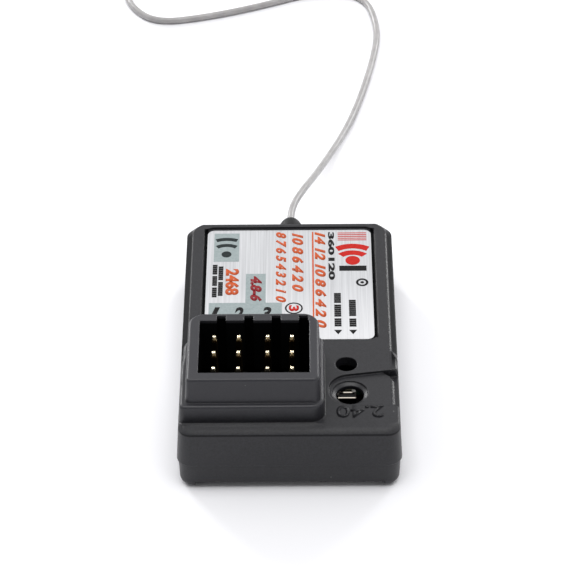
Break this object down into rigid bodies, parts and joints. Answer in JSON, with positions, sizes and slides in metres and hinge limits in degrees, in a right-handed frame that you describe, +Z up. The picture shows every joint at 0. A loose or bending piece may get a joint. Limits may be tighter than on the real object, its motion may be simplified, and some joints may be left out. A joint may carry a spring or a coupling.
{
  "type": "radio control receiver",
  "caption": "Small radio control receiver in a two-part black case, with a raised block of servo ports, a push button, a label and a coaxial antenna lead.",
  "frame": {"origin": "middle of the footprint of case and boot, on the surface that the base stands on", "axes": "+Y from the socket end to the antenna end, +X to the right, +Z up, out of the servo ports"},
  "size_m": [0.0435, 0.1057, 0.0127],
  "materials": {
    "case_plastic": "satin moulded ABS",
    "label_film": "printed silver film",
    "board_laminate": "solder mask over glass laminate",
    "header_plastic": "moulded insulator",
    "gilt_contact": "gold plated square wire",
    "solder": "bright solder",
    "switch_plastic": "moulded",
    "spring_steel": "stamped steel sheet",
    "lamp_ceramic": "moulded",
    "lamp_lens": "clear epoxy",
    "package_epoxy": "moulded epoxy",
    "tantalum_case": "moulded epoxy",
    "can_steel": "drawn can",
    "chip_ceramic": "fired ceramic",
    "resistor_ceramic": "coated ceramic",
    "ferrite": "pressed ferrite",
    "boot_rubber": "moulded soft PVC",
    "lead_jacket": "extruded grey jacket",
    "lead_core": "extruded dielectric"
  },
  "bodies": {
    "receiver": {"upper_case": "case_plastic", "lower_case": "case_plastic", "label": "label_film", "circuit_board": "board_laminate", "header_base_left": "header_plastic", "header_base_right": "header_plastic", "header_solder": "solder", "switch_body": "switch_plastic", "switch_cover": "spring_steel", "switch_dome": "spring_steel", "switch_terminals": "spring_steel", "led_base": "lamp_ceramic", "led_lens": "lamp_lens", "processor_chip": "package_epoxy", "radio_chip": "package_epoxy", "voltage_regulator": "package_epoxy", "bulk_capacitor": "tantalum_case", "crystal": "can_steel", "ferrite_bead": "ferrite", "chip_capacitors": "chip_ceramic", "chip_resistors": "resistor_ceramic", "antenna_boot": "boot_rubber", "antenna_lead": "lead_jacket", "antenna_solder": "solder", "antenna_wire": "lead_jacket", "antenna_tip": "lead_core", "pin_port1_ground": "gilt_contact", "pin_port1_power": "gilt_contact", "pin_port1_signal": "gilt_contact", "pin_port2_ground": "gilt_contact", "pin_port2_power": "gilt_contact", "pin_port2_signal": "gilt_contact", "pin_port3_ground": "gilt_contact", "pin_port3_power": "gilt_contact", "pin_port3_signal": "gilt_contact", "pin_port4_ground": "gilt_contact", "pin_port4_power": "gilt_contact", "pin_port4_signal": "gilt_contact"},
    "button": {"switch_plunger": "switch_plastic"}
  },
  "joints": [
    {"name": "button_press", "type": "slide", "parent": "receiver", "child": "button", "axis": [0, 0, -1], "range_m": [0, 0.00025], "stiffness_N_per_m": 6400, "deforming": ["switch_dome"]}
  ]
}
